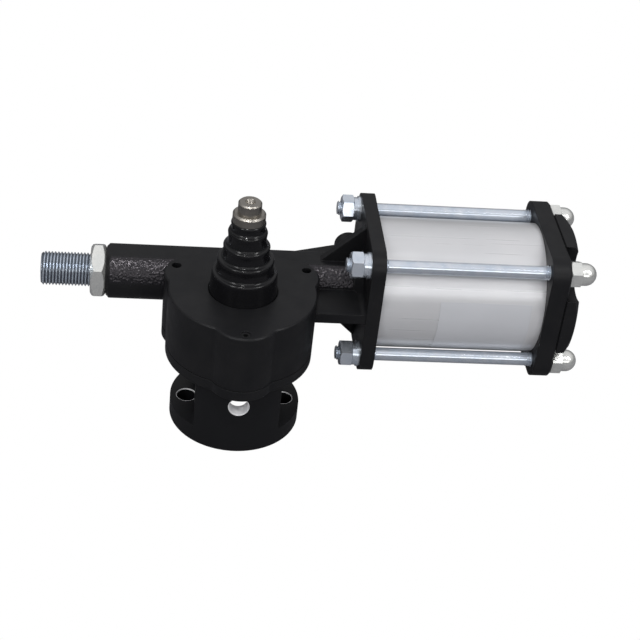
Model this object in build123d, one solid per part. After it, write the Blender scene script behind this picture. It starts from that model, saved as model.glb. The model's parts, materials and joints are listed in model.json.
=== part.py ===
from build123d import *
import os
from math import acos, cos, pi, radians, sin, tan

# Rotary pneumatic actuator: a double-acting cylinder drives a rack, and the rack turns a
# pinion shaft through a quarter turn. Millimetres. +Z is up along the output shaft, +X runs
# along the rack towards the cylinder, and the origin is the centre of the bracket's foot.

# ---- driving dimensions -------------------------------------------------------------

# gear case
CASE_R = 38.7            # round part of the case
LOBE_CENTRE = 27.6       # shaft axis to a lobe's centre
LOBE_R = 16.9
LOBE_ANGLES = (30, 150, 270)
LOBE_HOLE_R = 39.56      # shaft axis to the screw holes in the lobes
CASE_TOP = 79.7
CASE_BOTTOM = 47.2
GASKET = 0.5
GASKET_INSET = 0.7       # leaves a groove round the seam
COVER_BOTTOM = 41.0
COVER_TOP = CASE_BOTTOM - GASKET
CAVITY_R = 28.6          # room for the pinion
CAVITY_TOP = 72.8
TAPPED_R = 2.5           # holes in the top of the lobes
TAPPED_DEPTH = 6.6
UPPER_BUSH_R = 20.4
BUSH_SEAL_LEVEL = 76.0   # the upper bush ends and the shaft seal begins
LIP_BOTTOM = 78.2        # a thin lip of the case hides the seal
SKIM_LEVEL = CASE_TOP - 0.5   # flats on top of the arm and the neck
LOWER_BUSH_R = 17.0

# screws of the cover and the bracket
COVER_SCREW_R = 2.0
COVER_SCREW_DEPTH = 11.0
COVER_HEAD_R = 4.7
COVER_HEAD_H = 2.8
BRACKET_SCREW_R = 2.5
BRACKET_SCREW_HEAD_R = 4.25
BRACKET_SCREW_HEAD_H = 4.6
BRACKET_SCREW_CIRCLE = 30.9
BRACKET_SCREW_ANGLES = (68, 112, 248, 292)
BRACKET_SCREW_END = 27.0

# gear
MODULE = 2.5
TEETH = 20
PRESSURE = radians(20)
PITCH_R = MODULE * TEETH / 2
BACKLASH = 0.16          # thinning of each tooth
PINION_BOTTOM = 50.0
PINION_TOP = 72.5
TURN = radians(90)
STROKE = PITCH_R * TURN

# rack axis, which is also the axis of the arm, the neck and the cylinder
AXIS_Y = PITCH_R + 8.0
AXIS_Z = 66.0
RACK_R = 11.5
RACK_BORE_R = 12.3
ARM_R = 14.6
ARM_END = -71.0
ARM_WALL = 11.0          # end wall that holds the stop screw
RUN = 0.06               # radial running clearance
RACK_TEETH_END = 58.0
PAD_R = 13.7             # outside of the pad behind the rack
ROD_BUSH_R = 13.1
ROD_BUSH_X = 55.0
ROD_SEAL_R = 15.0
ROD_SEAL_X = 67.2

# cylinder
FLANGE_X = 65.0
FLANGE_T = 7.5
TUBE_START = FLANGE_X + FLANGE_T
TUBE_END = 160.0
SQUARE = 75.0
CORNER_R = 10.5
TUBE_R = 35.4
BORE_R = 31.5
CAP_T = 10.3
CAP_BOSS_T = 7.5
CAP_BOSS_R = 36.6        # its flat face
CAP_BOSS_FOOT_R = 46.5   # its foot, which runs out over the plate's sides
SCALLOP_R = 14.8         # clearance round each dome nut
CAP_PORT_R = 5.9
SPIGOT = 5.0             # depth of the caps' registers in the tube
BUMPER_T = 3.0
ROD_OFFSET = 28.25       # tie rods stand on a 56.5 mm square
ROD_R = 3.55
ROD_THREAD_R = 3.95
ROD_HOLE_R = 4.2
SEAL_PLACES = (TUBE_START + 2.6, TUBE_END - 2.6)
SEAL_SECTION_R = 1.0

# nuts and washers of the tie rods (M8)
NUT_AF = 13.0
NUT_T = 6.8
PLAIN_WASHER_T = 1.5
SPRING_WASHER_T = 2.1
NUT_RIGHT = FLANGE_X - PLAIN_WASHER_T - SPRING_WASHER_T
NUT_LEFT = NUT_RIGHT - NUT_T
ROD_LEFT = NUT_LEFT - 2.2
DOME_NUT_LEFT = TUBE_END + CAP_T
DOME_NUT_TIP = 185.4
DOME_HEX_T = 6.6
DOME_R = 6.0
ROD_RIGHT = DOME_NUT_LEFT + 10

# label on the tube
LABEL_X0 = 104.0
LABEL_X1 = 153.0
LABEL_TOP = 18           # degrees above the tube's front, seen along the cylinder
LABEL_BOTTOM = -42
LABEL_T = 0.2

# piston and rack travel
PISTON_T = 26.0
PISTON_RIGHT = TUBE_END - SPIGOT - BUMPER_T - 0.3
PISTON_LEFT = PISTON_RIGHT - PISTON_T
STOP_INNER = ARM_END + ARM_WALL + 1.0
RACK_LEFT = STOP_INNER + STROKE + 0.6
PISTON_BOLT_R = 5.0
PISTON_GROOVES = ((PISTON_LEFT + 3, PISTON_LEFT + 7, 27.5), (PISTON_RIGHT - 7, PISTON_RIGHT - 3, 27.5))
GUIDE_GROOVE = (PISTON_LEFT + 10.5, PISTON_LEFT + 15.5, 29.2)

# shaft
SHAFT_TOP = 132.2
SHAFT_BOTTOM = 22.0
TIP_R = 6.0
COLLAR_R = 8.4
SLEEVE_TOP = 121.4
TIP_BOTTOM = 126.2
SLEEVE_STEPS = ((CASE_TOP, 91.8, 17.8, 16.9), (91.8, 99.9, 15.1, 14.6),
                (99.9, 107.8, 12.4, 12.0), (107.8, 116.0, 10.4, 10.1),
                (116.0, SLEEVE_TOP, 9.2, 8.9))   # bottom, top, radius below, radius above
CORE_R = 8.0             # shaft inside the sleeve
JOURNAL_R = 14.0
SOCKET_OUTER_R = 13.0
SOCKET_R = 7.0
SOCKET_DEPTH = 22.0
KEYWAY = 5.0
RING_T = 1.2
RING_BOTTOM = COVER_BOTTOM - RING_T - 0.4

# bracket
FOOT_R = 34.8
FOOT_T = 9.5
LEG_HALF = 22.3          # half the width of a leg
LEG_INNER_R = 27.0
FOOT_BORE_R = 17.5
FOOT_BOLT_SPACING = 52.0
FOOT_BOLT_R = 5.25
CROSS_HOLE_Z = 29.5
CROSS_HOLE_R = 5.3

# stop screw (M18) and its lock nut
STUD_R = 9.0
STUD_END = -105.2
STUD_NUT_AF = 27.0
STUD_NUT_T = 8.2
STUD_NUT_RIGHT = ARM_END - 0.1

# neck
WEB_BOTTOM = 63.1
WEB_TOP = 68.8
WEB_FILLET = 3.0         # where the front web meets the flange
REAR_WEB_START = 19.5    # the rear web's edge, from the rack axis, at X = 22
REAR_WEB_END = 35.0      # and at the flange
RIB_T = 4.6
RIB_START = 42.4
RIB_TOP = 34.7           # above the rack axis, at the flange
PORT_X = 60.3
PORT_Z = 73.3
PORT_BOSS_R = 7.6
PORT_FACE = 58.0
PORT_R = 4.4
PASSAGE_R = 1.5


# ---- helpers ------------------------------------------------------------------------

def rod(radius, low, high, at=(0, 0), axis="Z"):
    """A cylinder between two levels along an axis, at the two other coordinates."""
    length = high - low
    middle = (low + high) / 2
    if axis == "Z":
        return Pos(at[0], at[1], middle) * Cylinder(radius, length)
    if axis == "X":
        return Pos(middle, at[0], at[1]) * Rot(0, 90, 0) * Cylinder(radius, length)
    return Pos(at[0], middle, at[1]) * Rot(-90, 0, 0) * Cylinder(radius, length)


def ring(outer, inner, low, high, at=(0, 0), axis="Z"):
    return rod(outer, low, high, at, axis) - rod(inner, low - 1, high + 1, at, axis)


def block(x0, x1, y0, y1, z0, z1):
    return Pos((x0 + x1) / 2, (y0 + y1) / 2, (z0 + z1) / 2) * Box(x1 - x0, y1 - y0, z1 - z0)


def hexagon(across_flats, low, high, at, axis="X"):
    """A hexagonal prism with chamfered corners, its flats parallel to +Z and -Z."""
    across_corners = across_flats / cos(pi / 6)
    prism = extrude(RegularPolygon(across_corners / 2, 6), high - low)
    cone_h = across_corners
    chamfer_r = across_flats / 2 * 0.97
    slope = tan(radians(30))
    trim = Cone(chamfer_r + cone_h / slope, chamfer_r, cone_h, align=(Align.CENTER, Align.CENTER, Align.MIN))
    upper = Pos(0, 0, high - low - cone_h) * trim
    lower = Pos(0, 0, cone_h) * Rot(180, 0, 0) * trim
    nut = prism & upper & lower
    if axis == "X":
        return Pos(low, at[0], at[1]) * Rot(0, 90, 0) * nut
    return Pos(at[0], at[1], low) * nut


def polar(radius, angle):
    return radius * cos(radians(angle)), radius * sin(radians(angle))


def tie_rod_places():
    return [(AXIS_Y + i * ROD_OFFSET, AXIS_Z + j * ROD_OFFSET) for i in (-1, 1) for j in (-1, 1)]


def on_rods(make):
    """One solid on each tie rod."""
    return [make(place) for place in tie_rod_places()]


def lobed_outline(inset=0):
    outline = Circle(CASE_R - inset)
    for angle in LOBE_ANGLES:
        outline += Pos(*polar(LOBE_CENTRE, angle)) * Circle(LOBE_R - inset)
    return fillet(outline.vertices(), 4.0 + inset)


def square_plate(x0, x1):
    profile = RectangleRounded(SQUARE, SQUARE, CORNER_R)
    return Pos(x0, AXIS_Y, AXIS_Z) * Rot(0, 90, 0) * extrude(profile, x1 - x0)


def axis_rod(radius, x0, x1):
    return rod(radius, x0, x1, (AXIS_Y, AXIS_Z), "X")


def axis_ring(outer, inner, x0, x1):
    return ring(outer, inner, x0, x1, (AXIS_Y, AXIS_Z), "X")


# ---- gear case ----------------------------------------------------------------------

def case_body():
    body = Pos(0, 0, CASE_BOTTOM) * extrude(lobed_outline(), CASE_TOP - CASE_BOTTOM)
    return chamfer(body.faces().sort_by(Axis.Z)[-1].edges(), 0.8)


def skim(x0, x1):
    """What is milled off the top of the arm or the neck, a little below the top of the case."""
    return block(x0, x1, AXIS_Y - ARM_R, AXIS_Y + ARM_R, SKIM_LEVEL, SKIM_LEVEL + ARM_R)


def rack_arm():
    arm = axis_rod(ARM_R, ARM_END, 0)
    arm = chamfer(arm.faces().sort_by(Axis.X)[0].edges(), 1.6)
    return arm - skim(ARM_END - 1, 1)


def neck_rib(direction):
    """A triangular rib in the cylinder's middle plane, above (+1) or below (-1) the neck."""
    low = AXIS_Z + direction * (ARM_R - 3)
    foot = AXIS_Z + direction * (SKIM_LEVEL - AXIS_Z)
    high = AXIS_Z + direction * RIB_TOP
    profile = Polyline((RIB_START, low), (RIB_START, foot), (FLANGE_X, high), (FLANGE_X + 1, high),
                       (FLANGE_X + 1, low), close=True)
    face = Plane.XZ * make_face(profile)
    return Pos(0, AXIS_Y + RIB_T / 2, 0) * extrude(face, RIB_T)


def neck():
    tube = axis_rod(ARM_R, 0, FLANGE_X + 1) - skim(-1, FLANGE_X + 2)
    collar = Pos(FLANGE_X, AXIS_Y, AXIS_Z) * Rot(0, -90, 0) * Cone(
        ARM_R + 4, ARM_R - 0.5, 5, align=(Align.CENTER, Align.CENTER, Align.MIN))
    front = AXIS_Y - SQUARE / 2 + 0.4
    front_web = block(25, FLANGE_X + 1, front, AXIS_Y, WEB_BOTTOM, WEB_TOP)
    fillet_strip = block(FLANGE_X - WEB_FILLET, FLANGE_X + 1, front, AXIS_Y - ARM_R,
                         WEB_TOP - 1, WEB_TOP + WEB_FILLET)
    fillet_strip -= rod(WEB_FILLET, front - 1, AXIS_Y, (FLANGE_X - WEB_FILLET, WEB_TOP + WEB_FILLET), "Y")
    outline = Polyline((22, AXIS_Y), (22, AXIS_Y + REAR_WEB_START), (FLANGE_X + 1, AXIS_Y + REAR_WEB_END),
                       (FLANGE_X + 1, AXIS_Y), close=True)
    rear_web = Pos(0, 0, WEB_BOTTOM) * extrude(make_face(outline), WEB_TOP - WEB_BOTTOM)
    port_boss = rod(PORT_BOSS_R, AXIS_Y + 8, PORT_FACE, (PORT_X, PORT_Z), "Y")
    return [tube, collar, front_web, fillet_strip, rear_web, port_boss, neck_rib(1), neck_rib(-1)]


def gear_housing():
    body = case_body()
    for piece in [rack_arm()] + neck():
        body += piece
    body += square_plate(FLANGE_X, TUBE_START)
    body += axis_ring(BORE_R - 0.1, 24.0, TUBE_START, TUBE_START + SPIGOT)
    # pinion chamber and shaft opening
    body -= rod(CAVITY_R, CASE_BOTTOM - 1, CAVITY_TOP)
    body -= rod(UPPER_BUSH_R, CAVITY_TOP - 1, LIP_BOTTOM)
    body -= rod(SLEEVE_STEPS[0][2] + 0.25, CAVITY_TOP, CASE_TOP + 1)
    # rack bore, with the seats of the rod bush and the rod seal
    body -= axis_rod(RACK_BORE_R, ARM_END + ARM_WALL, TUBE_START + 10)
    body -= axis_rod(ROD_BUSH_R, ROD_BUSH_X, TUBE_START + 10)
    body -= axis_rod(ROD_SEAL_R, ROD_SEAL_X, TUBE_START + 10)
    body -= axis_rod(STUD_R + RUN, ARM_END - 1, 0)
    body -= pad_shape(RACK_BORE_R - 0.3)
    body -= seal_groove(SEAL_PLACES[0])
    # air port with its passage to the cylinder
    body -= rod(PORT_R, PORT_FACE - 11, PORT_FACE + 1, (PORT_X, PORT_Z), "Y")
    body -= rod(PASSAGE_R, PORT_X, TUBE_START + 10, (PORT_FACE - 9, PORT_Z), "X")
    for place in tie_rod_places():
        body -= rod(ROD_HOLE_R, FLANGE_X - 1, TUBE_START + 1, place, "X")
    for angle in LOBE_ANGLES:
        place = polar(LOBE_HOLE_R, angle)
        body -= rod(TAPPED_R, CASE_TOP - TAPPED_DEPTH, CASE_TOP + 1, place)
        body -= rod(COVER_SCREW_R, CASE_BOTTOM - 1, CASE_BOTTOM + COVER_SCREW_DEPTH, place)
    return body


def bottom_cover():
    cover = Pos(0, 0, COVER_BOTTOM) * extrude(lobed_outline(), COVER_TOP - COVER_BOTTOM)
    cover -= rod(LOWER_BUSH_R, COVER_BOTTOM - 1, COVER_TOP + 1)
    for angle in LOBE_ANGLES:
        place = polar(LOBE_HOLE_R, angle)
        cover -= rod(COVER_SCREW_R, COVER_BOTTOM - 1, COVER_TOP + 1, place)
        cover -= Pos(place[0], place[1], COVER_BOTTOM) * countersunk_head()
    for angle in BRACKET_SCREW_ANGLES:
        place = polar(BRACKET_SCREW_CIRCLE, angle)
        cover -= rod(BRACKET_SCREW_R, COVER_BOTTOM - 1, COVER_TOP + 1, place)
        cover -= rod(BRACKET_SCREW_HEAD_R, COVER_TOP - BRACKET_SCREW_HEAD_H, COVER_TOP + 1, place)
    return cover


def cover_gasket():
    gasket = Pos(0, 0, COVER_TOP) * extrude(lobed_outline(GASKET_INSET), GASKET)
    gasket -= rod(CAVITY_R + 1.5, COVER_TOP - 1, CASE_BOTTOM + 1)
    for angle in LOBE_ANGLES:
        gasket -= rod(COVER_SCREW_R + 0.3, COVER_TOP - 1, CASE_BOTTOM + 1, polar(LOBE_HOLE_R, angle))
    return gasket


def countersunk_head():
    return Cone(COVER_HEAD_R, COVER_SCREW_R, COVER_HEAD_H, align=(Align.CENTER, Align.CENTER, Align.MIN))


def cover_screw(place):
    """A countersunk socket screw, its head flush under the cover."""
    screw = rod(COVER_SCREW_R, COVER_BOTTOM, CASE_BOTTOM + COVER_SCREW_DEPTH - 2, place)
    screw += Pos(place[0], place[1], COVER_BOTTOM) * countersunk_head()
    socket = extrude(RegularPolygon(1.44, 6), 2.0)
    return screw - Pos(place[0], place[1], COVER_BOTTOM - 0.2) * socket


def bracket_screw(place):
    """A socket screw that holds the bracket under the cover, its head sunk in the cover."""
    head_bottom = COVER_TOP - BRACKET_SCREW_HEAD_H
    screw = rod(BRACKET_SCREW_R, BRACKET_SCREW_END + 1, head_bottom, place)
    screw += rod(BRACKET_SCREW_HEAD_R - 0.1, head_bottom, COVER_TOP - 0.2, place)
    socket = extrude(RegularPolygon(2.3, 6), 2.6)
    return screw - Pos(place[0], place[1], COVER_TOP - 2.6) * socket


def front_grub_screw():
    place = polar(LOBE_HOLE_R, 270)
    screw = rod(TAPPED_R, CASE_TOP - TAPPED_DEPTH, CASE_TOP - 0.7, place)
    socket = extrude(RegularPolygon(1.45, 6), 3)
    return screw - Pos(place[0], place[1], CASE_TOP - 3.2) * socket


# ---- bracket ------------------------------------------------------------------------

def mounting_bracket():
    """A round foot and two legs; the sides between the legs are open to reach the bolts."""
    foot = rod(FOOT_R, 0, FOOT_T)
    legs = ring(FOOT_R, LEG_INNER_R, FOOT_T - 0.5, COVER_BOTTOM)
    legs &= block(-LEG_HALF, LEG_HALF, -FOOT_R, FOOT_R, 0, COVER_BOTTOM)
    bracket = foot + legs
    bracket -= rod(FOOT_BORE_R, -1, FOOT_T + 1)
    bracket -= rod(CROSS_HOLE_R, -FOOT_R - 1, FOOT_R + 1, (0, CROSS_HOLE_Z), "Y")
    for side in (-1, 1):
        bracket -= rod(FOOT_BOLT_R, -1, FOOT_T + 1, (side * FOOT_BOLT_SPACING / 2, 0))
    for angle in BRACKET_SCREW_ANGLES:
        place = polar(BRACKET_SCREW_CIRCLE, angle)
        bracket -= rod(BRACKET_SCREW_R, BRACKET_SCREW_END, COVER_BOTTOM + 1, place)
    return bracket


# ---- shaft --------------------------------------------------------------------------

def involute_point(base_r, radius, turn, side):
    """A point of an involute flank, turned so that the tooth is centred on +X."""
    alpha = acos(base_r / radius)
    angle = turn - (tan(alpha) - alpha)
    return radius * cos(angle), side * radius * sin(angle)


def gear_outline():
    base_r = PITCH_R * cos(PRESSURE)
    tip_r = PITCH_R + MODULE
    root_r = PITCH_R - 1.25 * MODULE
    start_r = max(base_r, root_r) + 0.01
    half_tooth = (MODULE * pi / 2 - BACKLASH) / 2 / PITCH_R + tan(PRESSURE) - PRESSURE
    steps = 6
    radii = [start_r + (tip_r - start_r) * i / steps for i in range(steps + 1)]
    outline = Circle(root_r)
    for tooth in range(TEETH):
        upper = [involute_point(base_r, r, half_tooth, 1) for r in radii]
        lower = [involute_point(base_r, r, half_tooth, -1) for r in reversed(radii)]
        inner = [(root_r - 1, lower[-1][1]), (root_r - 1, upper[0][1])]
        profile = make_face(Polyline(*inner, *upper, *lower, close=True))
        # a tooth gap, not a tooth, faces the rack's middle
        outline += Rot(0, 0, 90 + (tooth + 0.5) * 360 / TEETH) * profile
    return outline


def pinion_shaft():
    shaft = Pos(0, 0, PINION_BOTTOM) * extrude(gear_outline(), PINION_TOP - PINION_BOTTOM)
    shaft += rod(JOURNAL_R, COVER_BOTTOM, PINION_BOTTOM)
    shaft += rod(SOCKET_OUTER_R, SHAFT_BOTTOM, COVER_BOTTOM)
    shaft += rod(CORE_R, PINION_TOP, SLEEVE_TOP)
    collar = rod(COLLAR_R, SLEEVE_TOP, TIP_BOTTOM)
    shaft += chamfer(collar.faces().sort_by(Axis.Z)[-1].edges(), 0.9)
    tip = rod(TIP_R, TIP_BOTTOM, SHAFT_TOP)
    shaft += chamfer(tip.faces().sort_by(Axis.Z)[-1].edges(), 0.7)
    shaft -= Pos(0, 0, SHAFT_TOP) * Rot(180, 0, 0) * Cone(
        2.7, 1.2, 2.6, align=(Align.CENTER, Align.CENTER, Align.MIN))
    shaft -= rod(1.2, SHAFT_TOP - 7, SHAFT_TOP)
    socket_top = SHAFT_BOTTOM + SOCKET_DEPTH
    shaft -= rod(SOCKET_R, SHAFT_BOTTOM - 1, socket_top)
    shaft -= block(-KEYWAY / 2, KEYWAY / 2, 0, SOCKET_R + 2.3, SHAFT_BOTTOM - 1, socket_top)
    shaft -= ring(SOCKET_OUTER_R + 1, SOCKET_OUTER_R - 1.2, RING_BOTTOM, RING_BOTTOM + RING_T)
    return shaft


def retaining_ring():
    clip = ring(SOCKET_OUTER_R + 2.0, SOCKET_OUTER_R - 1.2, RING_BOTTOM, RING_BOTTOM + RING_T)
    return clip - block(5, 30, -3.5, 3.5, RING_BOTTOM - 1, RING_BOTTOM + 3)


def stepped_sleeve():
    """Five slightly tapered steps with rounded shoulders, and a journal in the upper bush."""
    sleeve = rod(SLEEVE_STEPS[0][2], PINION_TOP, CASE_TOP)
    for bottom, top, below, above in SLEEVE_STEPS:
        step = Cone(below, above, top - bottom, align=(Align.CENTER, Align.CENTER, Align.MIN))
        step = fillet(step.faces().sort_by(Axis.Z)[-1].edges(), 0.7)
        sleeve += Pos(0, 0, bottom) * step
    return sleeve - rod(CORE_R, PINION_TOP - 1, SLEEVE_TOP + 1)


def upper_bush():
    return ring(UPPER_BUSH_R, SLEEVE_STEPS[0][2] + RUN, CAVITY_TOP, BUSH_SEAL_LEVEL)


def upper_shaft_seal():
    return ring(UPPER_BUSH_R, SLEEVE_STEPS[0][2] + RUN, BUSH_SEAL_LEVEL, LIP_BOTTOM)


def lower_bush():
    return ring(LOWER_BUSH_R, JOURNAL_R + RUN, COVER_BOTTOM + 0.2, COVER_TOP)


def thrust_washer():
    return ring(24.0, JOURNAL_R + RUN, COVER_TOP, PINION_BOTTOM - 0.3)


# ---- rack and piston ----------------------------------------------------------------

def rack_teeth():
    """The gaps between the rack's teeth, cut into its side that faces the pinion."""
    pitch = MODULE * pi
    tip = PITCH_R - MODULE
    root = PITCH_R + 1.25 * MODULE
    slope = tan(PRESSURE)
    half_gap = (pitch / 2 + BACKLASH) / 2
    beyond = RACK_R + 1
    cut = block(RACK_LEFT - 1, RACK_TEETH_END, AXIS_Y - beyond, tip, AXIS_Z - beyond, AXIS_Z + beyond)
    first = int(RACK_LEFT / pitch) - 1
    for index in range(first, 12):
        x = (index + 0.5) * pitch
        if RACK_LEFT + 2 < x < RACK_TEETH_END - 3:
            wide = half_gap + (PITCH_R - tip + 1) * slope
            narrow = half_gap - (root - PITCH_R) * slope
            gap = make_face(Polyline((x - wide, tip - 1), (x + wide, tip - 1), (x + narrow, root),
                                     (x - narrow, root), close=True))
            cut += Pos(0, 0, AXIS_Z - beyond) * extrude(gap, 2 * beyond)
    return cut


def rack():
    bar = axis_rod(RACK_R, RACK_LEFT, PISTON_LEFT)
    bar = chamfer(bar.faces().sort_by(Axis.X)[0].edges(), 1.0)
    bar -= rack_teeth()
    return bar - axis_rod(PISTON_BOLT_R, PISTON_LEFT - 24, PISTON_LEFT + 1)


def piston():
    body = axis_rod(BORE_R - 0.25, PISTON_LEFT, PISTON_RIGHT)
    for x0, x1, inner in PISTON_GROOVES + (GUIDE_GROOVE,):
        body -= axis_ring(BORE_R + 1, inner, x0, x1)
    body -= axis_rod(PISTON_BOLT_R, PISTON_LEFT - 1, PISTON_RIGHT + 1)
    return body - axis_rod(8.6, PISTON_RIGHT - 10.5, PISTON_RIGHT + 1)


def piston_seals():
    return [axis_ring(BORE_R - RUN, inner, x0 + 0.1, x1 - 0.1) for x0, x1, inner in PISTON_GROOVES]


def piston_guide_ring():
    x0, x1, inner = GUIDE_GROOVE
    return axis_ring(BORE_R - RUN, inner, x0, x1)


def piston_bolt():
    head_left = PISTON_RIGHT - 10.5
    bolt = axis_rod(PISTON_BOLT_R, PISTON_LEFT - 22, head_left)
    bolt += axis_rod(8.0, head_left, PISTON_RIGHT - 0.8)
    socket = Pos(PISTON_RIGHT - 5.8, AXIS_Y, AXIS_Z) * Rot(0, 90, 0) * extrude(RegularPolygon(4.6, 6), 8)
    return bolt - socket


def rack_bush():
    return axis_ring(RACK_BORE_R, RACK_R + RUN, -42, -24)


def pad_shape(inner):
    """A curved block behind the rack, opposite the pinion."""
    shell = axis_ring(PAD_R, inner, -10, 10)
    return shell & block(-11, 11, AXIS_Y + 6, AXIS_Y + 20, AXIS_Z - 9, AXIS_Z + 9)


def rack_guide_pad():
    return pad_shape(RACK_R + RUN)


def rod_bush():
    return axis_ring(ROD_BUSH_R, RACK_R + RUN, ROD_BUSH_X, ROD_SEAL_X)


def rod_seal():
    return axis_ring(ROD_SEAL_R, RACK_R + RUN, ROD_SEAL_X, ROD_SEAL_X + 4.5)


# ---- cylinder -----------------------------------------------------------------------

def cylinder_tube():
    return axis_ring(TUBE_R, BORE_R, TUBE_START, TUBE_END)


def cap_boss():
    """The raised middle of the end cap: a low cone, cut off at the plate's sides and scalloped
    round the dome nuts."""
    cone = Cone(CAP_BOSS_FOOT_R, CAP_BOSS_R, CAP_BOSS_T, align=(Align.CENTER, Align.CENTER, Align.MIN))
    cone = fillet(cone.faces().sort_by(Axis.Z)[-1].edges(), 1.0)
    boss = Pos(TUBE_END + CAP_T, AXIS_Y, AXIS_Z) * Rot(0, 90, 0) * cone
    boss &= square_plate(TUBE_END, TUBE_END + CAP_T + CAP_BOSS_T)
    for place in tie_rod_places():
        boss -= rod(SCALLOP_R, TUBE_END, TUBE_END + 30, place, "X")
    return boss


def end_cap():
    cap = square_plate(TUBE_END, TUBE_END + CAP_T)
    cap = chamfer(cap.faces().sort_by(Axis.X)[-1].edges(), 1.0)
    cap += cap_boss()
    cap += axis_ring(BORE_R - 0.1, 24.0, TUBE_END - SPIGOT, TUBE_END)
    cap -= axis_rod(CAP_PORT_R, TUBE_END - 10, TUBE_END + 40)
    for place in tie_rod_places():
        cap -= rod(ROD_HOLE_R, TUBE_END - 1, TUBE_END + CAP_T + 1, place, "X")
    return cap - seal_groove(SEAL_PLACES[1])


def seal_groove(x):
    """The square groove of an O-ring in the register of a cap."""
    half = SEAL_SECTION_R + 0.2
    return axis_ring(BORE_R + 1, BORE_R - 2 * half, x - half, x + half)


def tube_seal(x):
    path_r = BORE_R - 0.05 - SEAL_SECTION_R
    return Pos(x, AXIS_Y, AXIS_Z) * Rot(0, 90, 0) * Torus(path_r, SEAL_SECTION_R)


def end_bumpers():
    left = TUBE_START + SPIGOT
    right = TUBE_END - SPIGOT
    return [axis_ring(29.0, 24.5, left, left + BUMPER_T), axis_ring(29.0, 24.5, right - BUMPER_T, right)]


def tie_rod(place):
    shank = rod(ROD_R, TUBE_START + 12, TUBE_END - 12, place, "X")
    left = rod(ROD_THREAD_R, ROD_LEFT, TUBE_START + 12, place, "X")
    left = chamfer(left.faces().sort_by(Axis.X)[0].edges(), 0.6)
    right = rod(ROD_THREAD_R, TUBE_END - 12, ROD_RIGHT, place, "X")
    return left + shank + right


def tie_rod_nut(place):
    nut = hexagon(NUT_AF, NUT_LEFT, NUT_RIGHT, place)
    return nut - rod(ROD_THREAD_R, NUT_LEFT - 1, NUT_RIGHT + 1, place, "X")


def plain_washer(place):
    return ring(7.0, ROD_HOLE_R, FLANGE_X - PLAIN_WASHER_T, FLANGE_X, place, "X")


def spring_washer(place):
    """A split ring under the nut."""
    washer = ring(6.3, ROD_HOLE_R, NUT_RIGHT, NUT_RIGHT + SPRING_WASHER_T, place, "X")
    return washer - block(NUT_RIGHT - 1, FLANGE_X, place[0] + 2, place[0] + 9, place[1] - 0.5, place[1] + 0.5)


def dome_nut(place):
    """An acorn nut: a hexagon, a short neck and a half-round cap."""
    nut = hexagon(NUT_AF, DOME_NUT_LEFT, DOME_NUT_LEFT + DOME_HEX_T, place)
    nut += rod(DOME_R, DOME_NUT_LEFT + 3, DOME_NUT_TIP - DOME_R, place, "X")
    nut += Pos(DOME_NUT_TIP - DOME_R, place[0], place[1]) * Sphere(DOME_R)
    return nut - rod(ROD_THREAD_R, DOME_NUT_LEFT - 1, ROD_RIGHT + 0.5, place, "X")


def label_plate():
    shell = axis_ring(TUBE_R + LABEL_T, TUBE_R, LABEL_X0, LABEL_X1)
    reach = 2 * TUBE_R
    corner = [(AXIS_Y, AXIS_Z)]
    for angle in (LABEL_TOP, LABEL_BOTTOM):
        corner.append((AXIS_Y - reach * cos(radians(angle)), AXIS_Z + reach * sin(radians(angle))))
    wedge = Pos(LABEL_X0 - 1, 0, 0) * extrude(Plane.YZ * make_face(Polyline(*corner, close=True)), 60)
    return shell & wedge


# ---- stop screw ---------------------------------------------------------------------

def stop_screw():
    screw = axis_rod(STUD_R, STUD_END, STOP_INNER)
    screw = chamfer(screw.faces().sort_by(Axis.X)[0].edges(), 1.2)
    socket = Pos(STUD_END - 1, AXIS_Y, AXIS_Z) * Rot(0, 90, 0) * extrude(RegularPolygon(4.6, 6), 9)
    return screw - socket


def stop_lock_nut():
    left = STUD_NUT_RIGHT - STUD_NUT_T
    nut = hexagon(STUD_NUT_AF, left, STUD_NUT_RIGHT, (AXIS_Y, AXIS_Z))
    return nut - axis_rod(STUD_R + RUN, left - 1, STUD_NUT_RIGHT + 1)


# ---- output -------------------------------------------------------------------------

PARTS = {
    "gear_housing": gear_housing,
    "bottom_cover": bottom_cover,
    "cover_gasket": cover_gasket,
    "cover_screws": lambda: [cover_screw(polar(LOBE_HOLE_R, a)) for a in LOBE_ANGLES],
    "front_grub_screw": front_grub_screw,
    "mounting_bracket": mounting_bracket,
    "bracket_screws": lambda: [bracket_screw(polar(BRACKET_SCREW_CIRCLE, a)) for a in BRACKET_SCREW_ANGLES],
    "upper_bush": upper_bush,
    "upper_shaft_seal": upper_shaft_seal,
    "lower_bush": lower_bush,
    "thrust_washer": thrust_washer,
    "rack_bush": rack_bush,
    "rack_guide_pad": rack_guide_pad,
    "rod_bush": rod_bush,
    "rod_seal": rod_seal,
    "cylinder_tube": cylinder_tube,
    "end_cap": end_cap,
    "tube_seals": lambda: [tube_seal(x) for x in SEAL_PLACES],
    "end_bumpers": end_bumpers,
    "tie_rods": lambda: on_rods(tie_rod),
    "tie_rod_nuts": lambda: on_rods(tie_rod_nut),
    "plain_washers": lambda: on_rods(plain_washer),
    "spring_washers": lambda: on_rods(spring_washer),
    "dome_nuts": lambda: on_rods(dome_nut),
    "label_plate": label_plate,
    "stop_lock_nut": stop_lock_nut,
    "pinion_shaft": pinion_shaft,
    "stepped_sleeve": stepped_sleeve,
    "retaining_ring": retaining_ring,
    "rack": rack,
    "piston": piston,
    "piston_seals": piston_seals,
    "piston_guide_ring": piston_guide_ring,
    "piston_bolt": piston_bolt,
    "stop_screw": stop_screw,
}

os.makedirs("parts", exist_ok=True)
for name, make in PARTS.items():
    made = make()
    shape = Compound(children=made) if isinstance(made, list) else made
    export_step(shape, f"parts/{name}.step")
    print(name, round(shape.volume))
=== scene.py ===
import json
from math import cos, pi, radians, sin, tan

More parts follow.
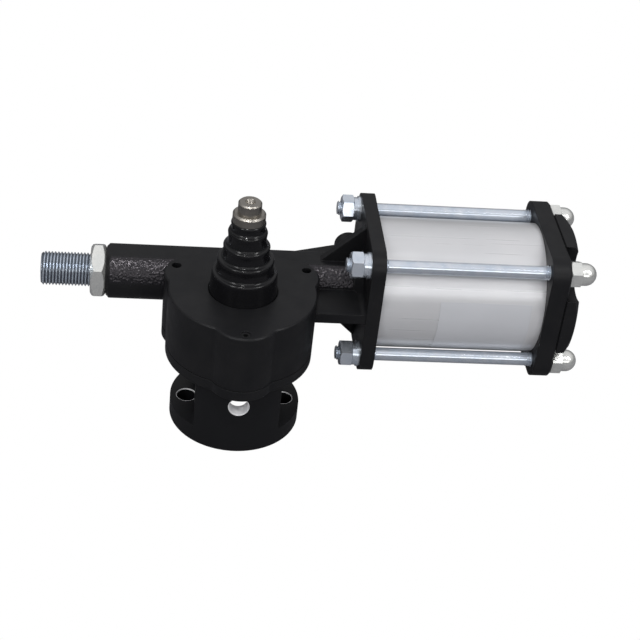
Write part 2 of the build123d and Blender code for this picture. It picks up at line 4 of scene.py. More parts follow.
import bmesh
import bpy
import mathutils.noise
from mathutils import Matrix, Vector


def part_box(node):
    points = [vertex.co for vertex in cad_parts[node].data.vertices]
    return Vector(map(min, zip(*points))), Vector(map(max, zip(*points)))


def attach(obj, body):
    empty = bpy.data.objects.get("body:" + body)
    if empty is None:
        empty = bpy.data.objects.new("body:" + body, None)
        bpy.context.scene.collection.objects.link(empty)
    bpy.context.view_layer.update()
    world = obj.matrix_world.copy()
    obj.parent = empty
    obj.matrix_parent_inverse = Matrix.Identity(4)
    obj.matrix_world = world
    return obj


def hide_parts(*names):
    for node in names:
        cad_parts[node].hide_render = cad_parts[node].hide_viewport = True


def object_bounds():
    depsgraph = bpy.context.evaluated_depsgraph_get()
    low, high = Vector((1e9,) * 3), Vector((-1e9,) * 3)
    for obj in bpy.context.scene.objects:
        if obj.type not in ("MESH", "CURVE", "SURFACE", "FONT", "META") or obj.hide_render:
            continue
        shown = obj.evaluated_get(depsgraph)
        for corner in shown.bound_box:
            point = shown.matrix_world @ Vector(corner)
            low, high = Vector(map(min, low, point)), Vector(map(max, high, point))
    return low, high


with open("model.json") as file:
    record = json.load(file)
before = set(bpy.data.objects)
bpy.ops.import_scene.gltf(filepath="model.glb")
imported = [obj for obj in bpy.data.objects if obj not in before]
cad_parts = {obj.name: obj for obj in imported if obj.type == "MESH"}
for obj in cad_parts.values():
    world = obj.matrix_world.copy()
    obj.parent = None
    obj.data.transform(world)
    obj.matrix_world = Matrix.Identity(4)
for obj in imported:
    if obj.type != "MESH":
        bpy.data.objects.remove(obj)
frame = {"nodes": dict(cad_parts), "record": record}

# Looks of the rotary pneumatic actuator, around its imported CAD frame. Metres.
# +Z is up along the output shaft and +X runs along the rack towards the cylinder.

cad_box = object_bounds()
nodes = frame["nodes"]


def mm(value):
    return value / 1000


def middle(node):
    low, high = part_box(node)
    return (low + high) / 2


# ---- camera -------------------------------------------------------------------------

CAMERA_AIM = Vector((0.0416, 0.0, 0.0620))
CAMERA_AZIMUTH = radians(-8.18)      # 0 looks along +Y
CAMERA_ELEVATION = radians(34.96)
CAMERA_ROLL = radians(6.84)
CAMERA_DISTANCE = 0.7953
CAMERA_LENS = 85.14                  # on a 36 mm wide sensor


def make_camera():
    azimuth, elevation = CAMERA_AZIMUTH, CAMERA_ELEVATION
    back = Vector((sin(azimuth) * cos(elevation), -cos(azimuth) * cos(elevation), sin(elevation)))
    right = Vector((cos(azimuth), sin(azimuth), 0))
    up = back.cross(right)
    turn = Matrix.Rotation(CAMERA_ROLL, 3, back)
    axes = Matrix((turn @ right, turn @ up, back)).transposed()
    data = bpy.data.cameras.new("camera")
    data.lens = CAMERA_LENS
    data.sensor_width = 36
    data.clip_start = 0.01
    camera = bpy.data.objects.new("camera", data)
    camera.matrix_world = Matrix.Translation(CAMERA_AIM + back * CAMERA_DISTANCE) @ axes.to_4x4()
    bpy.context.scene.collection.objects.link(camera)
    bpy.context.scene.camera = camera


make_camera()


# ---- material helpers ---------------------------------------------------------------

class Paint:
    """A node material: a Principled shader, and short calls that add nodes in object space."""

    def __init__(self, name, color, roughness, metallic=0.0, **inputs):
        self.material = bpy.data.materials.new(name)
        self.material.use_nodes = True
        self.tree = self.material.node_tree
        self.shader = self.tree.nodes["Principled BSDF"]
        self.shader.inputs["Base Color"].default_value = (*color, 1)
        self.shader.inputs["Roughness"].default_value = roughness
        self.shader.inputs["Metallic"].default_value = metallic
        for key, value in inputs.items():
            self.shader.inputs[key.replace("_", " ")].default_value = value
        self.place = self.node("ShaderNodeTexCoord").outputs["Object"]
        self.normal = None

    def node(self, kind, **settings):
        made = self.tree.nodes.new(kind)
        for key, value in settings.items():
            setattr(made, key, value)
        return made

    def link(self, source, target):
        self.tree.links.new(source, target)

    def scaled(self, scale):
        mapping = self.node("ShaderNodeMapping")
        mapping.inputs["Scale"].default_value = scale
        self.link(self.place, mapping.inputs["Vector"])
        return mapping.outputs["Vector"]

    def noise(self, scale, detail=4.0, roughness=0.55, stretch=(1, 1, 1)):
        made = self.node("ShaderNodeTexNoise")
        made.inputs["Scale"].default_value = scale
        made.inputs["Detail"].default_value = detail
        made.inputs["Roughness"].default_value = roughness
        self.link(self.scaled(stretch), made.inputs["Vector"])
        return made.outputs["Fac"]

    def spread(self, value, low, high, new_low=0.0, new_high=1.0):
        made = self.node("ShaderNodeMapRange")
        for key, number in zip(("From Min", "From Max", "To Min", "To Max"), (low, high, new_low, new_high)):
            made.inputs[key].default_value = number
        self.link(value, made.inputs["Value"])
        return made.outputs["Result"]

    def math(self, operation, first, second=0.0):
        made = self.node("ShaderNodeMath", operation=operation)
        for socket, value in zip(made.inputs, (first, second)):
            if isinstance(value, (int, float)):
                socket.default_value = value
            else:
                self.link(value, socket)
        return made.outputs["Value"]

    def squares(self, first, second):
        """The sum of two values' squares."""
        return self.math("ADD", self.math("MULTIPLY", first, first), self.math("MULTIPLY", second, second))

    def mix(self, factor, first, second):
        made = self.node("ShaderNodeMix", data_type="RGBA")
        for socket, value in zip((made.inputs["Factor"], made.inputs["A"], made.inputs["B"]),
                                 (factor, first, second)):
            if isinstance(value, tuple):
                socket.default_value = (*value, 1)
            elif isinstance(value, (int, float)):
                socket.default_value = value
            else:
                self.link(value, socket)
        return made.outputs["Result"]

    def coordinate(self, axis):
        split = self.node("ShaderNodeSeparateXYZ")
        self.link(self.place, split.inputs["Vector"])
        return split.outputs[axis]

    def color(self, source):
        self.link(source, self.shader.inputs["Base Color"])

    def rough(self, source):
        self.link(source, self.shader.inputs["Roughness"])

    def bump(self, height, distance, strength=1.0):
        made = self.node("ShaderNodeBump")
        made.inputs["Distance"].default_value = distance
        if isinstance(strength, (int, float)):
            made.inputs["Strength"].default_value = strength
        else:
            self.link(strength, made.inputs["Strength"])
        self.link(height, made.inputs["Height"])
        if self.normal is not None:
            self.link(self.normal, made.inputs["Normal"])
        self.normal = made.outputs["Normal"]
        self.link(self.normal, self.shader.inputs["Normal"])

    def soft_edges(self, radius, samples=6):
        """Rounds the look of the edges; call it before the first bump."""
        made = self.node("ShaderNodeBevel", samples=samples)
        made.inputs["Radius"].default_value = radius
        self.normal = made.outputs["Normal"]
        self.link(self.normal, self.shader.inputs["Normal"])


# ---- places and sizes taken from the frame ------------------------------------------

AXIS = middle("cylinder_tube")       # a point on the rack's and the cylinder's axis
ARM_R = mm(14.6)

# bracket
FOOT_TOP = mm(9.5)
RIM_DEPTH = mm(0.7)                  # bare metal below the foot's top, in its bolt holes, painted near white as partly a highlight
BOLT_OFFSET = mm(26)
BOLT_REACH = mm(5.5)                 # just outside a bolt hole's wall
CROSS_HOLE_Z = mm(29.5)
CROSS_REACH = mm(5.55)               # just outside the cross hole's wall

# tie rods and their nuts (M8)
ROD_OFFSET = mm(28.25)
ROD_R = mm(3.55)
ROD_THREAD_R = mm(3.95)
ROD_PITCH = mm(1.25)
ROD_THREAD_LEFT = mm(22)             # threaded length at the low-x end
ROD_THREAD_RIGHT = mm(24)
NUT_ACROSS = mm(13)
NUT_HOLE_R = mm(4.0)
NUT_FACE = 0.95                      # radius of a nut's round end face, as a share of half its width
CONE = tan(radians(30))              # slope of the cut on a nut's corners
DOME_R = mm(6)
DOME_HEX_T = mm(6.6)
DOME_TURN = radians(12)              # dome nuts stand turned by this from the nuts opposite
DOME_BORE_LEFT = mm(4.6)             # solid end of a dome nut, beyond its blind bore

# stop screw and lock nut; the thread's pitch is a choice
STUD_R = mm(9)
STUD_PITCH = mm(1.7)
STUD_ROOT_R = mm(8.25)
LOCK_NUT_ACROSS = mm(27)
LOCK_NUT_HOLE_R = mm(9.15)
LOCK_NUT_FACE = 0.90
LOCK_NUT_TURN = radians(30)
STUD_CHAMFER = mm(1.3)
STUD_SHADE = mm(0.55)                # the painted shade in the thread's roots fades out over this height above the root
STUD_UNSHADED_END = mm(0.4)            # length of the end face and its chamfer that gets no painted shade


# ---- materials ----------------------------------------------------------------------

BLACK = (0.0068, 0.0070, 0.0080)


def casting_paint(name):
    """Satin black paint: its edges look rounded, so light catches on them, and it is faintly uneven."""
    paint = Paint(name, BLACK, 0.36, Specular_IOR_Level=0.16)
    clouds = paint.noise(70, 5)
    paint.color(paint.mix(paint.spread(clouds, 0.35, 0.65), BLACK, (0.0092, 0.0092, 0.0100)))
    paint.rough(paint.spread(paint.noise(130, 5), 0.3, 0.7, 0.34, 0.46))
    paint.soft_edges(mm(0.7))
    paint.bump(paint.noise(260, 4), mm(0.05), 0.30)
    paint.bump(paint.noise(1500, 3), mm(0.012), 0.45)
    return paint


def bare_metal_and_highlight_in_holes(paint):
    """Near-white walls in the bracket's cross hole and rims in its foot's bolt holes: partly bare metal,
    partly a painted highlight where light catches them.
    """
    x, y, z = (paint.coordinate(axis) for axis in "XYZ")
    cross = paint.squares(x, paint.math("SUBTRACT", z, CROSS_HOLE_Z))
    beside = paint.math("SUBTRACT", paint.math("ABSOLUTE", x), BOLT_OFFSET)
    bolt = paint.squares(beside, y)
    rim = paint.math("GREATER_THAN", z, FOOT_TOP - RIM_DEPTH)
    bare_and_highlight = paint.math("MAXIMUM", paint.math("LESS_THAN", cross, CROSS_REACH ** 2),
                      paint.math("MULTIPLY", paint.math("LESS_THAN", bolt, BOLT_REACH ** 2), rim))
    # near-white colour: the bare metal's own colour, brightened as a painted highlight
    paint.color(paint.mix(bare_and_highlight, BLACK, (0.85, 0.85, 0.86)))
    return paint


def gloss_black():
    """Glossy black paint on the turned sleeve, slightly wavy."""
    paint = Paint("gloss_black", (0.0045, 0.0045, 0.0052), 0.14,
                  Specular_IOR_Level=0.22, Coat_Weight=0.08, Coat_Roughness=0.05)
    paint.rough(paint.spread(paint.noise(60, 4), 0.3, 0.7, 0.14, 0.26))
    paint.soft_edges(mm(0.35))
    paint.bump(paint.noise(260, 3), mm(0.05), 0.22)
    return paint.material


def grain_skin():
    """The cast grain of the arm and the neck: blobs, glossy on top."""
    paint = Paint("cast_grain", BLACK, 0.26, Specular_IOR_Level=0.42, Specular_Tint=(1.0, 0.93, 1.0, 1))
    paint.rough(paint.spread(paint.noise(400, 3), 0.3, 0.7, 0.20, 0.34))
    paint.bump(paint.noise(1400, 3), mm(0.03), 0.5)
    return paint.material


def anodised_tube():
    """Clear anodised extrusion, with faint draw lines along its length."""
    paint = Paint("anodised_tube", (0.56, 0.565, 0.58), 0.32, 0.42)
    lines = paint.noise(700, 3, stretch=(0.012, 1, 1))
    clouds = paint.noise(26, 3)
    tint = paint.mix(paint.spread(clouds, 0.3, 0.7), (0.53, 0.535, 0.55), (0.585, 0.585, 0.595))
    paint.color(paint.mix(paint.spread(lines, 0.3, 0.7, 0.0, 0.10), tint, (0.66, 0.665, 0.68)))
    paint.rough(paint.spread(lines, 0.3, 0.7, 0.27, 0.36))
    paint.bump(lines, mm(0.002), 0.2)
    return paint.material


def plated(name, color, roughness, other):
    """Zinc or nickel plate: clouded between two colours, with fine handling marks."""
    paint = Paint(name, color, roughness, 0.78)
    clouds = paint.noise(220, 4)
    paint.color(paint.mix(paint.spread(clouds, 0.35, 0.65), color, other))
    paint.rough(paint.spread(paint.noise(500, 3), 0.3, 0.7, roughness - 0.04, roughness + 0.06))
    paint.bump(paint.noise(900, 2), mm(0.008), 0.3)
    return paint


def paint_thread_root_shade(paint, centre, root, start):
    """Painted shade in the roots of a thread along X: darker towards the root radius; the end before start
    gets none.
    """
    across = paint.math("SUBTRACT", paint.coordinate("Y"), centre[0])
    upward = paint.math("SUBTRACT", paint.coordinate("Z"), centre[1])
    unshaded_share = paint.spread(paint.math("SQRT", paint.squares(across, upward)), root, root + STUD_SHADE)
    unshaded_share = paint.math("MAXIMUM", unshaded_share, paint.math("LESS_THAN", paint.coordinate("X"), start))
    # painted shade: dark blue-grey at the thread's root, light zinc at its crest and end
    paint.color(paint.mix(unshaded_share, (0.16, 0.18, 0.21), (0.66, 0.72, 0.80)))
    return paint


def turned_steel():
    """Bare steel with the rings of a turning tool."""
    paint = Paint("turned_steel", (0.34, 0.325, 0.30), 0.38, 1.0)
    rings = paint.noise(1600, 2, stretch=(0.02, 0.02, 1))
    paint.color(paint.mix(paint.noise(150, 4), (0.24, 0.225, 0.20), (0.36, 0.34, 0.31)))
    paint.rough(paint.spread(rings, 0.3, 0.7, 0.30, 0.46))
    paint.bump(rings, mm(0.03), 0.5)
    return paint.material


def flat_finish(name, color, roughness, metallic=0.0):
    """A plain finish for pieces inside or under the part, still with grain and cloudiness."""
    paint = Paint(name, color, roughness, metallic)
    darker = tuple(0.8 * c for c in color)
    paint.color(paint.mix(paint.noise(180, 4), color, darker))
    paint.rough(paint.spread(paint.noise(400, 3), 0.3, 0.7, roughness - 0.05, roughness + 0.08))
    paint.bump(paint.noise(1200, 3), mm(0.02), 0.4)
    return paint.material


def label_film():
    """A blank silvery film."""
    paint = Paint("label_film", (0.52, 0.53, 0.56), 0.34, 0.30, Coat_Weight=0.3, Coat_Roughness=0.15)
    paint.color(paint.mix(paint.noise(40, 3), (0.49, 0.50, 0.525), (0.55, 0.56, 0.585)))
    paint.rough(paint.spread(paint.noise(90, 3), 0.3, 0.7, 0.28, 0.36))
    paint.bump(paint.noise(150, 2), mm(0.03), 0.2)
    return paint.material


MATERIALS = {
    "black_casting": casting_paint("black_casting").material,
    "gloss_black": gloss_black(),
    "anodised_tube": anodised_tube(),
    "zinc": plated("zinc", (0.56, 0.62, 0.70), 0.20, (0.64, 0.68, 0.74)).material,
    "bright_nickel": plated("bright_nickel", (0.70, 0.71, 0.69), 0.19, (0.78, 0.78, 0.75)).material,
    "bare_steel": turned_steel(),
    "black_screw": flat_finish("black_screw", (0.012, 0.012, 0.013), 0.4, 0.3),
    "bronze": flat_finish("bronze", (0.55, 0.36, 0.16), 0.4, 0.9),
    "rubber": flat_finish("rubber", (0.012, 0.012, 0.012), 0.6),
    "guide_plastic": flat_finish("guide_plastic", (0.8, 0.78, 0.7), 0.5),
    "piston_aluminium": flat_finish("piston_aluminium", (0.6, 0.6, 0.61), 0.4, 0.9),
    "label_film": label_film(),
}

for entry in frame["record"]["subparts"]:
    thing = nodes[entry["node"]]
    thing.data.materials.clear()
    thing.data.materials.append(MATERIALS[entry["material_slot"]])
nodes["mounting_bracket"].data.materials[0] = bare_metal_and_highlight_in_holes(casting_paint("bracket_paint")).material


# ---- pieces with more detail than the CAD -------------------------------------------

def add_piece(name, mesh, slot, body, smooth_angle):
    """A finished piece in the frame: it takes a material slot's finish and rides on a body."""
    piece = bpy.data.objects.new(name, mesh)
    bpy.context.scene.collection.objects.link(piece)
    mesh.materials.append(MATERIALS[slot])
    mesh.polygons.foreach_set("use_smooth", [True] * len(mesh.polygons))
    mesh.set_sharp_from_angle(angle=radians(smooth_angle))
    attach(piece, body)
    return piece


def mesh_of(name, points, faces):
    """A mesh whose faces all point outwards."""
    mesh = bpy.data.meshes.new(name)
    mesh.from_pydata(points, [], faces)
    bm = bmesh.new()
    bm.from_mesh(mesh)
    bmesh.ops.recalc_face_normals(bm, faces=bm.faces)
    bm.to_mesh(mesh)
    bm.free()
    return mesh


def join_lists(parts):
    """Several (points, faces) pairs as one."""
    points, faces = [], []
    for some_points, some_faces in parts:
        start = len(points)
        points += some_points
        faces += [tuple(start + i for i in face) for face in some_faces]
    return points, faces


def ring_faces(rows, steps, closed=False):
    """Quads between rings of points; closed joins the last ring to the first."""
    faces = []
    for i in range(rows if closed else rows - 1):
        near, far = i * steps, (i + 1) % rows * steps
        for k in range(steps):
            following = (k + 1) % steps
            faces.append((near + k, near + following, far + following, far + k))
    return faces


def ring_points(rings, centre, spin, steps):
    """Points round X; a ring is (x, radius at a turn), and its first point is at the turn spin."""
    points = []
    for x, radius in rings:
        for k in range(steps):
            turn = 2 * pi * k / steps + spin
            r = radius(turn)
            points.append((x, centre[0] + r * cos(turn), centre[1] + r * sin(turn)))
    return points


def lathe_x(rings, centre, steps):
    """A closed turned solid along X, with a fan of triangles on each end."""
    points = ring_points(rings, centre, 0, steps)
    faces = ring_faces(len(rings), steps)
    for row in (0, len(rings) - 1):
        hub = len(points)
        points.append((rings[row][0], centre[0], centre[1]))
        for k in range(steps):
            faces.append((hub, row * steps + k, row * steps + (k + 1) % steps))
    return points, faces


def lathe_z(profile, steps=96):
    """A turned ring about the shaft's axis, from a closed (radius, z) profile."""
    points = [(r * cos(2 * pi * k / steps), r * sin(2 * pi * k / steps), z)
              for r, z in profile for k in range(steps)]
    return points, ring_faces(len(profile), steps, closed=True)


def thread_wave(x, turn, pitch):
    """Depth of a thread at a place, from 0 at its flat crest to 1 at its flat root."""
    phase = (x / pitch + turn / (2 * pi)) % 1
    ramp = abs(2 * phase - 1)
    return min(max((ramp - 0.1) / 0.75, 0), 1)


THREAD_DEPTH = 0.58     # of the pitch
ROWS_PER_PITCH = 8
CHAMFER_ROWS = 7        # rings on the cut at each end of a nut


def threaded_rod(x0, x1, centre, radius, pitch, steps, chamfer):
    """A helical thread from x0 to x1, with chamfered ends."""
    rows = max(int((x1 - x0) / pitch * ROWS_PER_PITCH), 2)
    rings = []
    for i in range(rows + 1):
        x = x0 + (x1 - x0) * i / rows
        limit = radius - chamfer + min(x - x0, x1 - x, chamfer)

        def thread(turn, x=x, limit=limit):
            return min(radius - THREAD_DEPTH * pitch * thread_wave(x, turn, pitch), limit)

        rings.append((x, thread))
    return lathe_x(rings, centre, steps)


def hexagon(turn, spin, flat):
    """Distance from a hexagon's centre to its edge, at a turn."""
    return flat / cos((turn - spin) % (pi / 3) - pi / 6)


def hex_ring(x0, x1, centre, across_flats, hole_r, spin, face=NUT_FACE, steps=96):
    """A hexagon nut: its corners are cut by 30 degree cones, its end faces are round."""
    flat = across_flats / 2
    corner = flat / cos(pi / 6)
    face_r = flat * face
    cut = (corner - face_r) * CONE

    def side(x):
        limit = min(face_r + (x - x0) / CONE, face_r + (x1 - x) / CONE, corner)
        return lambda turn: min(hexagon(turn, spin, flat), limit)

    levels = [x0] + [x0 + cut * i / CHAMFER_ROWS for i in range(1, CHAMFER_ROWS + 1)]
    levels += [x1 - cut * (CHAMFER_ROWS - i) / CHAMFER_ROWS for i in range(CHAMFER_ROWS)] + [x1]
    lip = 0.08 * (x1 - x0)
    rings = [(x0 + lip, lambda turn: hole_r), (x0, lambda turn: hole_r + lip)]
    rings += [(x, side(x)) for x in levels]
    rings += [(x1, lambda turn: hole_r + lip), (x1 - lip, lambda turn: hole_r)]
    return ring_points(rings, centre, spin, steps), ring_faces(len(rings), steps, closed=True)


ROD_CENTRES = [(AXIS.y + ROD_OFFSET * a, AXIS.z + ROD_OFFSET * b) for a in (-1, 1) for b in (-1, 1)]
NUT_SPIN = {(-1, 1): 20, (1, 1): 5, (-1, -1): 25, (1, -1): 40}     # degrees, by corner: (y, z) side


def nut_spin(place):
    """How far the nuts on a tie rod are turned."""
    sides = (1 if place[0] > AXIS.y else -1, 1 if place[1] > AXIS.z else -1)
    return radians(NUT_SPIN[sides])


def replace_node(node, name, parts, slot, body, smooth_angle):
    """One piece, made of several (points, faces) pairs, that is shown in place of a CAD node."""
    piece = add_piece(name, mesh_of(name, *join_lists(parts)), slot, body, smooth_angle)
    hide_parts(node)
    return piece


def tie_rod(place, low_x, high_x):
    """Threaded at both ends, plain and a little thinner between the caps."""
    plain_start, plain_end = low_x + ROD_THREAD_LEFT, high_x - ROD_THREAD_RIGHT
    lap = mm(1)
    chamfer = mm(0.6)
    plain = [(plain_start - lap, lambda turn: ROD_R), (plain_end + lap, lambda turn: ROD_R)]
    return [threaded_rod(low_x, plain_start, place, ROD_THREAD_R, ROD_PITCH, 36, chamfer),
            threaded_rod(plain_end, high_x, place, ROD_THREAD_R, ROD_PITCH, 36, chamfer),
            lathe_x(plain, place, 48)]


def make_tie_rods():
    low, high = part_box("tie_rods")
    parts = []
    for place in ROD_CENTRES:
        parts += tie_rod(place, low.x, high.x)
    replace_node("tie_rods", "tie_rods_threaded", parts, "zinc", "housing", 50)


def make_tie_rod_nuts():
    low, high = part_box("tie_rod_nuts")
    parts = [hex_ring(low.x, high.x, place, NUT_ACROSS, NUT_HOLE_R, nut_spin(place)) for place in ROD_CENTRES]
    replace_node("tie_rod_nuts", "tie_rod_nuts_chamfered", parts, "zinc", "housing", 25)


def dome_nut(place, low_x, high_x, steps=72):
    """An acorn nut: a chamfered hexagon, a short neck and a rounded cap, blind bored."""
    spin = nut_spin(place) + DOME_TURN
    flat = NUT_ACROSS / 2
    hex_end = low_x + DOME_HEX_T
    corner = flat / cos(pi / 6)
    face_r = flat * NUT_FACE
    cut = (corner - face_r) * CONE
    lip = mm(0.5)
    bore_end = high_x - DOME_BORE_LEFT
    dome_start = high_x - DOME_R
    cap_rows = 14

    def side(limit):
        return lambda turn: min(hexagon(turn, spin, flat), limit)

    def cap(lean):
        return lambda turn: DOME_R * cos(lean)

    rings = [(bore_end, lambda turn: mm(0.01)), (bore_end, lambda turn: NUT_HOLE_R),
             (low_x + lip, lambda turn: NUT_HOLE_R), (low_x, lambda turn: NUT_HOLE_R + lip)]
    for i in range(CHAMFER_ROWS + 1):
        share = i / CHAMFER_ROWS
        rings.append((low_x + cut * share, side(face_r + (corner - face_r) * share)))
    for i in range(CHAMFER_ROWS + 1):
        share = i / CHAMFER_ROWS
        rings.append((hex_end - cut * (1 - share), side(corner - (corner - face_r) * share)))
    rings += [(hex_end + mm(0.05), cap(0)), (dome_start, cap(0))]
    for i in range(1, cap_rows + 1):
        lean = pi / 2 * i / (cap_rows + 0.2)        # stops just short of the tip
        rings.append((dome_start + DOME_R * sin(lean), cap(lean)))
    faces = ring_faces(len(rings), steps)
    last = (len(rings) - 1) * steps
    faces.append(tuple(range(last, last + steps)))
    faces.append(tuple(reversed(range(steps))))
    return ring_points(rings, place, spin, steps), faces


def make_dome_nuts():
    low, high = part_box("dome_nuts")
    parts = [dome_nut(place, low.x, high.x) for place in ROD_CENTRES]
    replace_node("dome_nuts", "dome_nuts_rounded", parts, "bright_nickel", "housing", 30)


def make_stop_screw():
    low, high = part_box("stop_screw")
    centre = (AXIS.y, AXIS.z)
    parts = [threaded_rod(low.x, high.x, centre, STUD_R, STUD_PITCH, 56, STUD_CHAMFER)]
    piece = replace_node("stop_screw", "stop_screw_threaded", parts, "zinc", "stop_screw", 50)
    paint = plated("stud_zinc", (0.50, 0.56, 0.65), 0.20, (0.58, 0.62, 0.69))
    # the stud's colour becomes painted shade in its thread's roots
    paint_thread_root_shade(paint, centre, STUD_ROOT_R, low.x + STUD_UNSHADED_END)
    piece.data.materials[0] = paint.material


def make_lock_nut():
    low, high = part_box("stop_lock_nut")
    parts = [hex_ring(low.x, high.x, (AXIS.y, AXIS.z), LOCK_NUT_ACROSS, LOCK_NUT_HOLE_R,
                      LOCK_NUT_TURN, LOCK_NUT_FACE, steps=120)]
    replace_node("stop_lock_nut", "stop_lock_nut_chamfered", parts, "bright_nickel", "housing", 25)


# sleeve, in millimetres; a step is (bottom, top, radius below, radius above)
SLEEVE_FOOT = 80.0
SLEEVE_STEPS = ((SLEEVE_FOOT, 91.8, 17.8, 16.9), (91.8, 99.9, 15.1, 14.6), (99.9, 107.8, 12.4, 12.0),
                (107.8, 116.0, 10.4, 10.1), (116.0, 121.4, 9.2, 8.9))
SLEEVE_BORE_R = 8.0
SHOULDER = 1.25         # rounding of a step's top edge
WAIST = 0.45            # how much slimmer a step is at its middle
FOOT_WAIST = 0.15       # and the lowest step, all the way up
FLARE = 0.5             # where a step rises from the one below


def sleeve_step(bottom, top, below, above):
    """Half the outline of one step: its flare, its waist and its round shoulder."""
    upper = bottom > SLEEVE_FOOT
    height = top - bottom
    outline = [(below + FLARE, bottom), (below, bottom + FLARE)] if upper else []
    for i in range(1, 6):
        share = i / 6
        along = share * (height - SHOULDER)
        slim = WAIST * sin(pi * share) if upper else FOOT_WAIST
        outline.append((below + (above - below) * along / height - slim, bottom + max(along, 0.6)))
    for i in range(7):
        lean = pi / 2 * i / 6
        outline.append((above - SHOULDER + SHOULDER * cos(lean), top - SHOULDER + SHOULDER * sin(lean)))
    return outline


def make_sleeve():
    """The stepped sleeve with full round shoulders and slim waists between them."""
    low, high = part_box("stepped_sleeve")
    foot_r = SLEEVE_STEPS[0][2]
    profile = [(mm(SLEEVE_BORE_R), high.z), (mm(SLEEVE_BORE_R), low.z),
               (mm(foot_r), low.z), (mm(foot_r), mm(SLEEVE_FOOT))]
    for step in SLEEVE_STEPS:
        profile += [(mm(radius), mm(z)) for radius, z in sleeve_step(*step)]
    replace_node("stepped_sleeve", "stepped_sleeve_rounded", [lathe_z(profile)], "gloss_black", "shaft", 60)


def fade(value, low, high, soft):
    """1 inside low..high, falling to 0 over the distance soft at both ends."""
    return max(0, min(1, (value - low) / soft, (high - value) / soft))


GRAIN_STEP = mm(0.3)
GRAIN_SINK = mm(0.12)       # the skin's edge lies this far under the casting's surface
GRAIN_BASE = mm(0.16)       # rise of the skin between its blobs, from its edge
GRAIN_HEIGHT = mm(0.34)
ARM_GRAIN = mm(-69.2), mm(-33), 4, 66        # x from and to, degrees from and to
NECK_GRAIN = mm(27), mm(60.5), 12, 66


def blob(spot):
    """Height of the grain at a spot in millimetres, from 0 to 1."""
    coarse, fine = mathutils.noise.noise(spot * 0.95), mathutils.noise.noise(spot * 2.1)
    return min(max((coarse + 0.5 * fine) * 1.5 + 0.35, 0), 1)


def grain_patch(name, x0, x1, angle0, angle1):
    """As-cast skin on the front of the arm or the neck; the angles are from the -Y side upwards."""
    width = radians(angle1 - angle0) * ARM_R
    columns = int((x1 - x0) / GRAIN_STEP)
    rows = int(width / GRAIN_STEP)
    points, faces = [], []
    for i in range(columns + 1):
        x = x0 + (x1 - x0) * i / columns
        for k in range(rows + 1):
            angle = angle0 + (angle1 - angle0) * k / rows
            turn = radians(angle)
            across = radians(angle - angle0) * ARM_R
            edge = fade(x, x0, x1, mm(0.8)) * fade(across, 0, width, mm(1.0))
            strength = 1 - 0.6 * k / rows        # the grain is coarser lower down
            lift = blob(Vector((x, across, 0)) / mm(1)) * strength
            r = ARM_R - GRAIN_SINK + edge * (GRAIN_BASE + GRAIN_HEIGHT * lift)
            points.append((x, AXIS.y - r * cos(turn), AXIS.z + r * sin(turn)))
    for i in range(columns):
        for k in range(rows):
            corner = i * (rows + 1) + k
            faces.append((corner, corner + 1, corner + rows + 2, corner + rows + 1))
    mesh = bpy.data.meshes.new(name)
    mesh.from_pydata(points, [], faces)
    add_piece(name, mesh, "black_casting", "housing", 180)
    mesh.materials.clear()
    mesh.materials.append(GRAIN)


GRAIN = grain_skin()
make_tie_rods()
make_tie_rod_nuts()
make_dome_nuts()
make_stop_screw()
make_lock_nut()
make_sleeve()
grain_patch("arm_grain", *ARM_GRAIN)
grain_patch("neck_grain", *NECK_GRAIN)


# ---- floor and light ----------------------------------------------------------------

FLOOR_HALF = 3.0
FLOOR_GAP = mm(0.2)         # below the object's foot


def make_floor():
    """White to the camera, pale grey to diffuse light and dark grey in reflections."""
    bm = bmesh.new()
    bmesh.ops.create_grid(bm, x_segments=1, y_segments=1, size=FLOOR_HALF)
    mesh = bpy.data.meshes.new("floor")
    bm.to_mesh(mesh)
    bm.free()
    floor_object = bpy.data.objects.new("floor", mesh)
    floor_object.location = (0, 0, cad_box[0][2] - FLOOR_GAP)
    paint = Paint("floor_white", (0.60, 0.60, 0.61), 0.9)
    tree = paint.tree
    glow = paint.node("ShaderNodeEmission")
    glow.inputs["Color"].default_value = (1, 1, 1, 1)
    glow.inputs["Strength"].default_value = 1.0
    dim = paint.node("ShaderNodeBsdfDiffuse")
    dim.inputs["Color"].default_value = (0.17, 0.17, 0.18, 1)
    ray = paint.node("ShaderNodeLightPath").outputs
    lit = paint.node("ShaderNodeMixShader")
    paint.link(ray["Is Glossy Ray"], lit.inputs["Fac"])
    paint.link(paint.shader.outputs["BSDF"], lit.inputs[1])
    paint.link(dim.outputs["BSDF"], lit.inputs[2])
    choose = paint.node("ShaderNodeMixShader")
    paint.link(ray["Is Camera Ray"], choose.inputs["Fac"])
    paint.link(lit.outputs["Shader"], choose.inputs[1])
    paint.link(glow.outputs["Emission"], choose.inputs[2])
    paint.link(choose.outputs["Shader"], tree.nodes["Material Output"].inputs["Surface"])
    mesh.materials.append(paint.material)
    bpy.context.scene.collection.objects.link(floor_object)


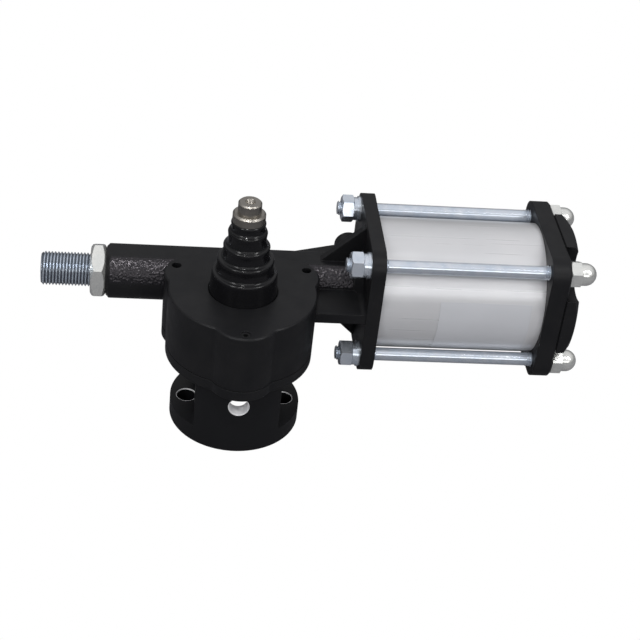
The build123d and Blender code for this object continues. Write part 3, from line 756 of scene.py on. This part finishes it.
def area_light(name, at, aim, size, power):
    """A rectangular lamp of size (across, up) that faces the point aim."""
    data = bpy.data.lights.new(name, "AREA")
    data.shape = "RECTANGLE"
    data.size, data.size_y = size
    data.energy = power
    light = bpy.data.objects.new(name, data)
    light.location = at
    light.rotation_euler = (Vector(aim) - Vector(at)).to_track_quat("-Z", "Y").to_euler()
    bpy.context.scene.collection.objects.link(light)


SKY_STRENGTH = 0.82
SKY_LEVELS = ((0.0, 0.10), (0.15, 0.30), (0.45, 0.62), (0.75, 0.95), (1.0, 1.0))    # height, light


def make_world():
    """White behind the object; light for the object comes mostly from above."""
    world = bpy.data.worlds.new("studio")
    bpy.context.scene.world = world
    world.use_nodes = True
    tree = world.node_tree
    sky = tree.nodes["Background"]
    backdrop = tree.nodes.new("ShaderNodeBackground")
    backdrop.inputs["Color"].default_value = (1, 1, 1, 1)
    place = tree.nodes.new("ShaderNodeTexCoord").outputs["Generated"]
    split = tree.nodes.new("ShaderNodeSeparateXYZ")
    tree.links.new(place, split.inputs["Vector"])
    ramp = tree.nodes.new("ShaderNodeValToRGB")
    points = ramp.color_ramp.elements
    while len(points) < len(SKY_LEVELS):
        points.new(0.5)
    for point, (position, shade) in zip(points, SKY_LEVELS):
        point.position = position
        point.color = (shade, shade, shade * 1.02, 1)
    tree.links.new(split.outputs["Z"], ramp.inputs["Fac"])
    tree.links.new(ramp.outputs["Color"], sky.inputs["Color"])
    sky.inputs["Strength"].default_value = SKY_STRENGTH
    choose = tree.nodes.new("ShaderNodeMixShader")
    tree.links.new(tree.nodes.new("ShaderNodeLightPath").outputs["Is Camera Ray"], choose.inputs["Fac"])
    tree.links.new(sky.outputs["Background"], choose.inputs[1])
    tree.links.new(backdrop.outputs["Background"], choose.inputs[2])
    tree.links.new(choose.outputs["Shader"], tree.nodes["World Output"].inputs["Surface"])


make_floor()
make_world()
area_light("left_strip", (-0.55, -0.55, 0.75), (0.02, 0, 0.08), (0.16, 0.5), 2.6)
area_light("right_strip", (0.65, -0.45, 0.75), (0.04, 0, 0.08), (0.16, 0.5), 2.6)
area_light("spot", (-0.08, -0.42, 1.0), (0.0, 0, 0.10), (0.08, 0.08), 1.9)
area_light("front_box", (0.15, -1.4, 0.58), (0.06, 0, 0.07), (1.6, 0.36), 3.7)
bpy.context.scene.view_settings.view_transform = "Standard"
